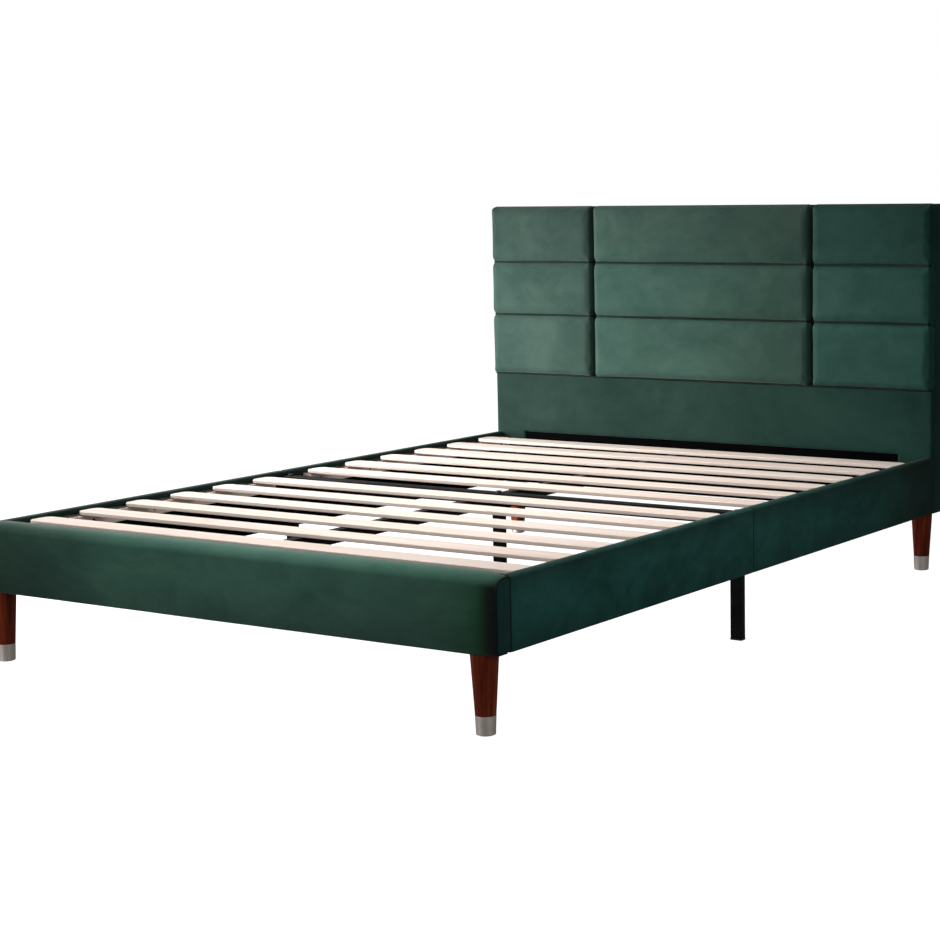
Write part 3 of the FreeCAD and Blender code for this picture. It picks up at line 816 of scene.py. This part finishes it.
def headboard_lower_cover():
    """Flat velvet panel with its edges turned over and the slot for the black cloth."""
    low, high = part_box("headboard_lower_cover")
    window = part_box("headboard_inset_cloth")[1]
    half_window, window_top = window.x - WINDOW_LAP, window.z - WINDOW_LAP
    x_lines = joined(spaced(low.x, -half_window, 9 * MM), spaced(-half_window, half_window, 11 * MM, 0.4),
                     spaced(half_window, high.x, 9 * MM))
    z_lines = joined(spaced(low.z, window_top, 9 * MM), spaced(window_top, high.z, 9 * MM))
    z, x = np.meshgrid(z_lines, x_lines, indexing="ij")
    to_side = np.minimum(x - low.x, high.x - x)
    across, above = np.maximum(abs(x) - half_window, 0), np.maximum(z - window_top, 0)
    to_window = np.hypot(across, above)
    reach = np.minimum(np.minimum(to_side, z - low.z), to_window)
    reach = np.minimum(reach, (high.z - z) * 1.7)
    hem = 1.2 * MM
    thick = hem + (high.y - low.y - hem) * rounding(reach, 5 * MM, 2.0) + 1.0 * MM * rounding(reach, 60 * MM)
    thick = thick + swell(x, z, 21, 0.22) * 0.45 * MM * rounding(reach, 30 * MM)
    mid_x, mid_z = (x_lines[1:] + x_lines[:-1]) / 2, (z_lines[1:] + z_lines[:-1]) / 2
    keep = ~((abs(mid_x)[None, :] < half_window) & (mid_z[:, None] < window_top))
    form = slab((x, high.y - thick, z), (x, np.full_like(x, high.y), z), keep)
    cover("headboard_lower_panel", form, VELVET_LOWER_SHADED, "headboard_lower_cover")


def thin_sheet(name, u_lines, v_lines, place, thick, material):
    """A thin cloth over a grid; place(u, v, depth) gives x, y and z of a skin at that depth."""
    v, u = np.meshgrid(v_lines, u_lines, indexing="ij")
    points, faces = slab(place(u, v, 0.0), place(u, v, thick))
    return make(name, points, faces, material)


def headboard_inset_cloth():
    """Black cloth stretched over the board below the velvet, with a small slack between its staples."""
    low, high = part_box("headboard_inset_cloth")

    def place(u, v, depth):
        slack = 0.35 * MM * np.sin(u / 0.045) * np.exp(-(high.z - v) / (30 * MM))
        return u, low.y + 3.4 * MM + slack + swell(u, v, 31, 0.12) * 0.35 * MM + depth, v

    piece = thin_sheet("headboard_inset_lining", np.linspace(low.x, high.x, 180), np.linspace(low.z, high.z, 26),
                       place, 0.8 * MM, BLACK_CLOTH_SHADED)
    settle(piece, "black_cloth", "headboard_inset_cloth")


def headboard_edge_cover():
    """Velvet band up one side, over the top and down the other, softly padded, with turned edges."""
    low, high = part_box("headboard_edge_cover")
    thick, hem, radius = 5.6 * MM, 1.0 * MM, 9 * MM
    path, normals = [], []
    for z in spaced(low.z, high.z - radius, 12 * MM, 0.3):
        path.append((low.x, z))
        normals.append((-1, 0))
    for s, c in quarter(8):
        path.append((low.x + radius - radius * c, high.z - radius + radius * s))
        normals.append((-c, s))
    for x in spaced(low.x + radius, 0.0, 14 * MM, 0.3)[1:]:
        path.append((x, high.z))
        normals.append((0, 1))
    path += [(-x, z) for x, z in reversed(path[:-1])]
    normals += [(-a, b) for a, b in reversed(normals[:-1])]
    across = spaced(low.y, high.y, 4.5 * MM, 0.8)
    edge = np.minimum(across - low.y, high.y - across)
    rings = []
    for index, ((x, z), (a, b)) in enumerate(zip(path, normals)):
        crown = rounding(edge, 6 * MM, 2.0) * (thick - hem) + hem
        uneven = swell(across, np.full_like(across, index * 12 * MM), 51, 0.2) * 0.35 * MM * rounding(edge, 15 * MM)
        lift = crown + uneven + 0.6 * MM * rounding(edge, 30 * MM)
        outer = np.stack([x + a * (lift - thick), across, z + b * (lift - thick)], -1)
        inner = np.stack([x - a * thick + 0 * across, across, z - b * thick + 0 * across], -1)
        rings.append(np.concatenate([outer, inner[::-1]]))
    cover("headboard_edge_band", loft(rings), VELVET_EDGE_SHADED, "headboard_edge_cover")


STAPLE_STEP = 48 * MM
STAPLE_WIDTH = 10 * MM


def staple(centre, along, out):
    """One wire staple lying on cloth: its crown bar along one direction, standing a little out."""
    centre, along, out = (np.array(v, float) for v in (centre, along, out))
    half = along * STAPLE_WIDTH / 2
    top = centre + out * 0.45 * MM
    legs = [bar_between(top + end, top + end - out * 1.6 * MM, 0.5 * MM) for end in (-half, half)]
    return [bar_between(top - half, top + half, 0.55 * MM)] + legs


def headboard_back_cloth():
    """Black dust cover stapled round the back, slack between its staples, its edges folded under."""
    low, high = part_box("headboard_back_cloth")

    def place(u, v, depth):
        edge = np.minimum(np.minimum(u - low.x, high.x - u), np.minimum(v - low.z, high.z - v))
        near = np.exp(-edge / (45 * MM))
        pull = 0.3 * MM * near * (1 + np.cos(2 * math.pi * (u + v) / STAPLE_STEP))
        sag = np.clip(swell(u, v, 61, 0.35) + 1.2, 0, 2.4) * 0.5 * MM * rounding(edge, 0.15)
        fold = 0.7 * MM * (edge < 13 * MM)
        return u, high.y + 0.3 * MM + pull + sag + fold - depth, v

    piece = thin_sheet("headboard_dust_cover", np.linspace(low.x, high.x, 190), np.linspace(low.z, high.z, 118),
                       place, 0.9 * MM, DUST_COVER)
    settle(piece, "black_cloth", "headboard_back_cloth")
    inset = 8 * MM
    parts = []
    for x in np.arange(low.x + 30 * MM, high.x - 20 * MM, STAPLE_STEP):
        for z in (low.z + inset, high.z - inset):
            parts += staple((x, high.y + 1.3 * MM, z), (1, 0, 0), (0, 1, 0))
    for z in np.arange(low.z + 40 * MM, high.z - 30 * MM, STAPLE_STEP):
        for x in (low.x + inset, high.x - inset):
            parts += staple((x, high.y + 1.3 * MM, z), (0, 0, 1), (0, 1, 0))
    staples = settle(make("headboard_staples", *together(parts), STAPLE), "zinc_steel")


# ---------------------------------------------------------------- foot rail
FOOT_CORNER = 33 * MM             # depth and height of the long soft edge at the top of the front
FOOT_FALL = 23 * MM
FOOT_TURN = 62 * MM               # length over which the front curves back into each end seam
FOOT_DRAW = 9 * MM                # how far it curves back
WELT = 2.6 * MM                   # half width of the seam round each end


def flap_end():
    """Height at which a rail's velvet, turned over the top, ends inside."""
    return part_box("rail_linings")[1].z + 1.5 * MM


def foot_profile(low, high, inset, crown):
    """Points round the outside of the foot rail's section, from the back flap over the top and front to the
    underside, as (y, z), inset all round and with the front crowned."""
    front, back = low.y + inset, high.y - inset * 0.4
    bottom, top = low.z + inset * 0.25, high.z - inset
    back_round, foot_round = 6 * MM, 5 * MM
    points = [(back, z) for z in np.linspace(flap_end(), top - 7 * MM, 4)]
    points += [(back - back_round + back_round * c, top - 7 * MM + back_round * s) for s, c in quarter(6)]
    corner_y, corner_z = front + FOOT_CORNER, top - FOOT_FALL
    for t in np.linspace(0, 1, 7)[1:]:
        points.append((back - back_round + (corner_y - back + back_round) * t, top - 1 * MM * (1 - t) ** 2))
    points += [(corner_y - FOOT_CORNER * s, corner_z + FOOT_FALL * c) for s, c in quarter(19)]
    for z in np.linspace(corner_z, bottom + foot_round, 26)[1:]:
        share = (corner_z - z) / (corner_z - bottom - foot_round)
        points.append((front - crown * math.sin(math.pi * share) ** 0.8, z))
    points += [(front + foot_round - foot_round * c, bottom + foot_round - foot_round * s) for s, c in quarter(6)]
    board_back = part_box("foot_rail_board")[1].y
    return points + [(y, bottom) for y in np.linspace(front + foot_round, board_back - 6 * MM, 5)[1:]]


def foot_rail_cover():
    low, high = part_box("foot_rail_cover")
    board_low, board_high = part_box("foot_rail_board")
    rings = []
    for x in fine_ends(low.x, high.x, 70 * MM, 3.2 * MM, 120, 0.5):
        reach = min(x - low.x, high.x - x)
        rest = max(0.0, 1 - reach / FOOT_TURN)
        inset = FOOT_DRAW * (1 - math.sqrt(1 - rest**2 * 0.995))
        crown = 2.6 * MM * (1 - rest**2)
        outer = np.array(foot_profile(low, high, inset, crown))
        ys, zs = outer[:, 0], outer[:, 1]
        soft = swell(np.full_like(zs, x), zs, 71, 0.20) * 0.6 * MM * (1 - rest)
        on_front = ys < low.y + FOOT_CORNER
        ys = ys + np.where(on_front, soft, 0)
        zs = zs + np.where(on_front, 0, soft * 0.5)
        outer = np.stack([np.full_like(ys, x), ys, zs], -1)
        gap = 0.4 * MM
        inner = [(board_high.y - 6 * MM, board_low.z - gap), (board_low.y - gap, board_low.z - gap),
                 (board_low.y - gap, board_high.z + gap), (board_high.y + gap, board_high.z + gap),
                 (board_high.y + gap, outer[0, 2])]
        inner = np.array([(x, y, z) for y, z in inner])
        rings.append(np.concatenate([outer, inner]))
    cover("foot_rail_padding", loft(rings), VELVET_FOOT_LIT, "foot_rail_cover")


def closed_section(low, high, inset):
    outline = np.array(foot_profile(low, high, inset, 0.0))
    behind = np.array([(outline[0, 0], outline[-1, 1])])
    lowest = np.linspace(outline[-1], behind[0], 5)[1:]
    up = np.linspace(behind[0], outline[0], 12)[1:-1]
    return np.concatenate([outline, lowest, up])


def foot_end_panel(side, sign):
    """Flat panel that closes the rail's end, slightly domed, with a turned edge."""
    low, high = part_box("foot_rail_cover")
    outline = closed_section(low, high, FOOT_DRAW + 0.3 * MM)
    centre = (outline.min(0) + outline.max(0)) / 2
    base = high.x + 0.1 * MM
    outer_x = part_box("foot_rail_end_panels")[1].x
    rings = []
    for share, x in ((1.0, base), (1.0, base + 1.4 * MM), (0.985, outer_x - 0.8 * MM), (0.95, outer_x - 0.1 * MM),
                     (0.88, outer_x + 0.3 * MM), (0.75, outer_x + 0.6 * MM), (0.5, outer_x + 0.8 * MM),
                     (0.25, outer_x + 0.8 * MM), (0.04, outer_x + 0.8 * MM)):
        flat = centre + (outline - centre) * share
        rings.append(np.stack([np.full(len(flat), sign * x), flat[:, 0], flat[:, 1]], -1))
    cover("foot_rail_end_%s" % side, loft(rings), VELVET_END_SHADED, "foot_rail_end_panels")


def foot_end_shade_welts():
    """Sewn seam that runs round each end of the foot rail, over the top and down the front, near-black to paint the
    shade in it.
    """
    low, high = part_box("foot_rail_cover")
    outline = np.array(foot_profile(low, high, FOOT_DRAW - 0.4 * MM, 0.0))
    middle = (outline.min(0) + outline.max(0)) / 2
    parts = []
    for _, sign in SIDES:
        rings = []
        for index, (y, z) in enumerate(outline):
            before, after = outline[max(index - 1, 0)], outline[min(index + 1, len(outline) - 1)]
            along = (after - before) / np.linalg.norm(after - before)
            out = np.array((along[1], -along[0]))
            if out @ (np.array((y, z)) - middle) < 0:
                out = -out
            rings.append(np.array([(sign * (high.x + 1.0 * MM + WELT * c), y + out[0] * WELT * s * 0.8,
                                    z + out[1] * WELT * s * 0.8) for s, c in full_turn(10)]))
        parts.append(loft(rings))
    trim("foot_rail_end_welts", together(parts), VELVET_PAINTED_SHADE)


def seam_stitches():
    """Short stitches along the seam round each end panel of the foot rail."""
    low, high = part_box("foot_rail_cover")
    panel_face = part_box("foot_rail_end_panels")[1].x
    outline = np.array(foot_profile(low, high, FOOT_DRAW + 4.0 * MM, 0.0))[4:-4]
    steps = np.concatenate([[0], np.cumsum(np.linalg.norm(np.diff(outline, axis=0), axis=1))])
    parts = []
    for _, sign in SIDES:
        for start in np.arange(2 * MM, steps[-1] - 5 * MM, 5.2 * MM):
            ends = [np.array([np.interp(s, steps, outline[:, k]) for k in (0, 1)]) for s in (start, start + 3.4 * MM)]
            x = sign * (panel_face + 0.1 * MM)
            parts.append(bar_between((x, *ends[0]), (x, *ends[1]), 0.42 * MM, 5))
    trim("foot_rail_end_stitching", together(parts), THREAD)


# ---------------------------------------------------------------- side rails
RAIL_ROUND = 7 * MM               # outer top edge, inner top edge and underside
RAIL_INNER = 6 * MM
RAIL_FOOT = 4 * MM
RAIL_END = 24 * MM                # length at each end with a finer mesh
RAIL_TURN = 10 * MM               # length over which the velvet turns in at each end, and how far
RAIL_DRAW = 2.6 * MM


def rail_section(low, high, board, draw, crown):
    """Points round the outside of a side rail's section, from the inner flap over the top and down the face, as
    (distance from the middle of the bed, z)."""
    near, far = sorted((abs(low.x), abs(high.x)))
    inner, out, top = near + draw * 0.4, far - draw, high.z - draw
    points = [(inner, z) for z in np.linspace(flap_end(), top - RAIL_INNER, 4)]
    points += [(inner + RAIL_INNER - RAIL_INNER * c, top - RAIL_INNER + RAIL_INNER * s) for s, c in quarter(7)]
    points += [(x, top + 0.35 * MM) for x in np.linspace(inner + RAIL_INNER, out - RAIL_ROUND, 5)[1:]]
    points += [(out - RAIL_ROUND + RAIL_ROUND * s, top - RAIL_ROUND + RAIL_ROUND * c) for s, c in quarter(9)]
    face_top, face_low = top - RAIL_ROUND, low.z + RAIL_FOOT
    for z in np.linspace(face_top, face_low, 24)[1:]:
        share = (face_top - z) / (face_top - face_low)
        points.append((out + crown * math.sin(math.pi * share) ** 0.7, z))
    points += [(out - RAIL_FOOT + RAIL_FOOT * c, face_low - RAIL_FOOT * s) for s, c in quarter(5)]
    return np.array(points + [(x, low.z) for x in np.linspace(out - RAIL_FOOT, board + 1 * MM, 4)[1:]])


def side_rail_cover(side, sign, half):
    """Velvet over thin foam: outer face, rounded top and the flap inside, drawn in at both ends."""
    name = "side_rail_cover_%s_%s" % (side, half)
    low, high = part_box(name)
    board_low, board_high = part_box("side_rail_board_%s_%s" % (side, half))
    board_in, board_out = sorted((abs(board_low.x), abs(board_high.x)))
    outer_x = max(abs(low.x), abs(high.x))
    seed = 80 + (sign > 0) * 2 + (half == "rear")
    gap = 0.3 * MM
    inner = np.array([(board_in + 1 * MM, board_low.z - gap), (board_out + gap, board_low.z - gap),
                      (board_out + gap, board_high.z + gap), (board_in - gap, board_high.z + gap),
                      (board_in - gap, flap_end())])
    rings = []
    for y in fine_ends(low.y, high.y, RAIL_END, 2.2 * MM, 110, 0.4):
        rest = max(0.0, 1 - min(y - low.y, high.y - y) / RAIL_TURN)
        draw = RAIL_DRAW * (1 - math.sqrt(1 - 0.99 * rest**2))
        outer = rail_section(low, high, board_in, draw, 1.5 * MM * (1 - rest))
        on_face = (outer[:, 0] > outer_x - RAIL_ROUND) & (outer[:, 1] > low.z + 5 * MM)
        soft = swell(np.full(len(outer), y), outer[:, 1], seed, 0.17) * 0.55 * MM * (1 - rest)
        outer[:, 0] += np.where(on_face, soft, 0)
        ring = np.concatenate([outer, inner])
        rings.append(np.stack([sign * ring[:, 0], np.full(len(ring), y), ring[:, 1]], -1))
    cover("side_rail_padding_%s_%s" % (side, half), loft(rings), VELVET_SIDE_BY_LIGHT[side], name)


def rail_lining(name, u_range, z_range, to_point, seed):
    """Black cloth stapled to the inner face of a rail."""
    def place(u, v, depth):
        uneven = swell(u, v, seed, 0.09) * 0.22 * MM
        return to_point(u, v, uneven + depth)

    u_lines = np.linspace(*u_range, max(20, int((u_range[1] - u_range[0]) / (9 * MM))))
    piece = thin_sheet(name, u_lines, np.linspace(*z_range, 16), place, 0.7 * MM, BLACK_CLOTH_SHADED)
    settle(piece, "black_cloth", "rail_linings")


def rail_linings():
    whole_low, whole_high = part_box("rail_linings")
    for side, sign in SIDES:
        for half in HALVES:
            board = "side_rail_board_%s_%s" % (side, half)
            low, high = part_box(board)
            board_in = min(abs(low.x), abs(high.x))

            def to_point(u, v, depth, sign=sign, board_in=board_in):
                return sign * (board_in - 1.05 * MM + depth * 0.5), u, v

            rail_lining("rail_lining_%s_%s" % (side, half), (low.y + 1 * MM, high.y - 1 * MM),
                        (whole_low.z, whole_high.z), to_point, 90 + sign + (half == "rear") * 3)
    low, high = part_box("foot_rail_board")
    half_width = min(abs(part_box("side_rail_cover_right_front")[0].x), high.x) - 8 * MM

    def to_point(u, v, depth):
        return u, high.y + 0.3 * MM + depth * 0.5, v

    rail_lining("rail_lining_foot", (-half_width, half_width), (whole_low.z, whole_high.z), to_point,
                97)


def slat_straps():
    """Webbing under the slat ends, with a pair of staples at every slat."""
    whole_low, whole_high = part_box("slat_straps")
    width = 22 * MM
    outer = whole_high.x
    strips, staples = [], []
    for numbers in (range(1, 7), range(7, 13)):
        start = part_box("slat_%02d" % numbers[0])[0].y + 6 * MM
        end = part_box("slat_%02d" % numbers[-1])[1].y - 6 * MM
        for _, sign in SIDES:
            middle = sign * (outer - width / 2)
            u_lines = np.linspace(-width / 2, width / 2, 9)
            v_lines = np.arange(start, end, 5 * MM)
            v, u = np.meshgrid(v_lines, u_lines, indexing="ij")
            lift = (abs(u) > width * 0.43) * 0.15 * MM
            top = whole_high.z - 0.12 * MM - lift
            bottom = np.full_like(u, whole_low.z + 0.05 * MM)
            strips.append(slab((middle + u, v, top), (middle + u, v, bottom)))
            for number in numbers:
                low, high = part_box("slat_%02d" % number)
                for y in (low.y - 4 * MM, high.y + 4 * MM):
                    if start < y < end:
                        staples += staple((middle, y, whole_high.z - 0.2 * MM), (1, 0, 0), (0, 0, 1))
    settle(make("slat_webbing", *together(strips), TAPE), "webbing", "slat_straps")
    settle(make("slat_webbing_staples", *together(staples), DARK_STEEL), "dark_steel")


# ---------------------------------------------------------------- studio
def studio_floor():
    size = 30.0
    lines = np.linspace(-size, size, 9)
    y, x = np.meshgrid(lines, lines, indexing="ij")
    points = np.stack([x, y, np.full_like(x, -0.2 * MM)], -1).reshape(-1, 3)
    floor = make("studio_floor", points, grid_faces(9, 9), floor_sweep("studio_floor"))
    floor.visible_diffuse = False
    floor.visible_glossy = False


def studio_world():
    world = bpy.data.worlds.new("studio")
    bpy.context.scene.world = world
    world.use_nodes = True
    tree = world.node_tree
    tree.nodes.clear()
    seen = node(tree, "Background", Color=(1, 1, 1, 1), Strength=1.0)
    lit = node(tree, "Background", Color=(0.95, 0.98, 1.0, 1), Strength=0.128)
    path = node(tree, "LightPath")
    both = node(tree, "MixShader", _0=path.outputs["Is Camera Ray"], _1=lit.outputs[0], _2=seen.outputs[0])
    node(tree, "OutputWorld", Surface=both.outputs[0])


def softbox(name, place, target, size, power):
    lamp = bpy.data.lights.new(name, "AREA")
    lamp.shape = "RECTANGLE"
    lamp.size, lamp.size_y = size
    lamp.energy = power
    piece = bpy.data.objects.new(name, lamp)
    piece.location = place
    piece.rotation_euler = (Vector(target) - Vector(place)).to_track_quat("-Z", "Y").to_euler()
    bpy.context.scene.collection.objects.link(piece)
    return piece


def studio_lights():
    softbox("key_left", (-1.75, -0.2, 0.85), (-0.5, 1.0, 0.62), (1.1, 1.1), 45)
    softbox("key_low_left", (-1.25, 0.25, 0.45), (-0.45, 1.0, 0.5), (0.5, 0.5), 11)
    softbox("key_far_left", (-2.3, -1.2, 0.7), (-0.4, 1.0, 0.5), (1.0, 1.0), 15)
    softbox("overhead", (0.05, -0.3, 2.7), (0.05, -0.3, 0.3), (1.7, 2.1), 15).data.spread = math.radians(60)
    softbox("front_fill", (-2.2, -4.2, 1.5), (0.0, -0.9, 0.25), (1.6, 1.6), 45)
    softbox("front_low", (-1.4, -3.4, 0.55), (-0.2, -1.06, 0.25), (1.4, 0.7), 10.5)
    softbox("side_fill", (3.4, -1.6, 1.3), (0.72, -0.2, 0.2), (1.6, 1.6), 16.5)


CAMERA_PLACE = (3.0859, -4.3553, 1.0663)
CAMERA_TURN = math.radians(32.883)
CAMERA_DROP = math.radians(7.592)
CAMERA_ROLL = math.radians(-0.793)
CAMERA_LENS = 82.02
CAMERA_SHIFT = -0.132             # the picture is framed off-centre


def studio_camera():
    data = bpy.data.cameras.new("camera")
    data.sensor_width = 36.0
    data.lens = CAMERA_LENS
    data.shift_x = CAMERA_SHIFT
    camera = bpy.data.objects.new("camera", data)
    bpy.context.scene.collection.objects.link(camera)
    forward = Vector((-math.sin(CAMERA_TURN) * math.cos(CAMERA_DROP), math.cos(CAMERA_TURN) * math.cos(CAMERA_DROP),
                      -math.sin(CAMERA_DROP)))
    right = Vector((math.cos(CAMERA_TURN), math.sin(CAMERA_TURN), 0))
    up = right.cross(forward)
    across = right * math.cos(CAMERA_ROLL) + up * math.sin(CAMERA_ROLL)
    over = up * math.cos(CAMERA_ROLL) - right * math.sin(CAMERA_ROLL)
    turn = Matrix((across, over, -forward)).transposed()
    camera.matrix_world = Matrix.Translation(CAMERA_PLACE) @ turn.to_4x4()
    bpy.context.scene.camera = camera


# ---------------------------------------------------------------- build
bpy.context.scene.view_settings.view_transform = "Standard"
studio_camera()
dress_cad_nodes()
for number, side in enumerate(PADS):
    headboard_pad(side, PAD_SEED + number)
headboard_groove_shade_strips()
headboard_seam_shade_tucks()
headboard_joint_shade_welt()
headboard_lower_cover()
headboard_inset_cloth()
headboard_edge_cover()
headboard_back_cloth()
foot_rail_cover()
for side, sign in SIDES:
    foot_end_panel(side, sign)
    for half in HALVES:
        side_rail_cover(side, sign, half)
foot_end_shade_welts()
seam_stitches()
rail_linings()
slat_straps()
studio_floor()
studio_world()
studio_lights()
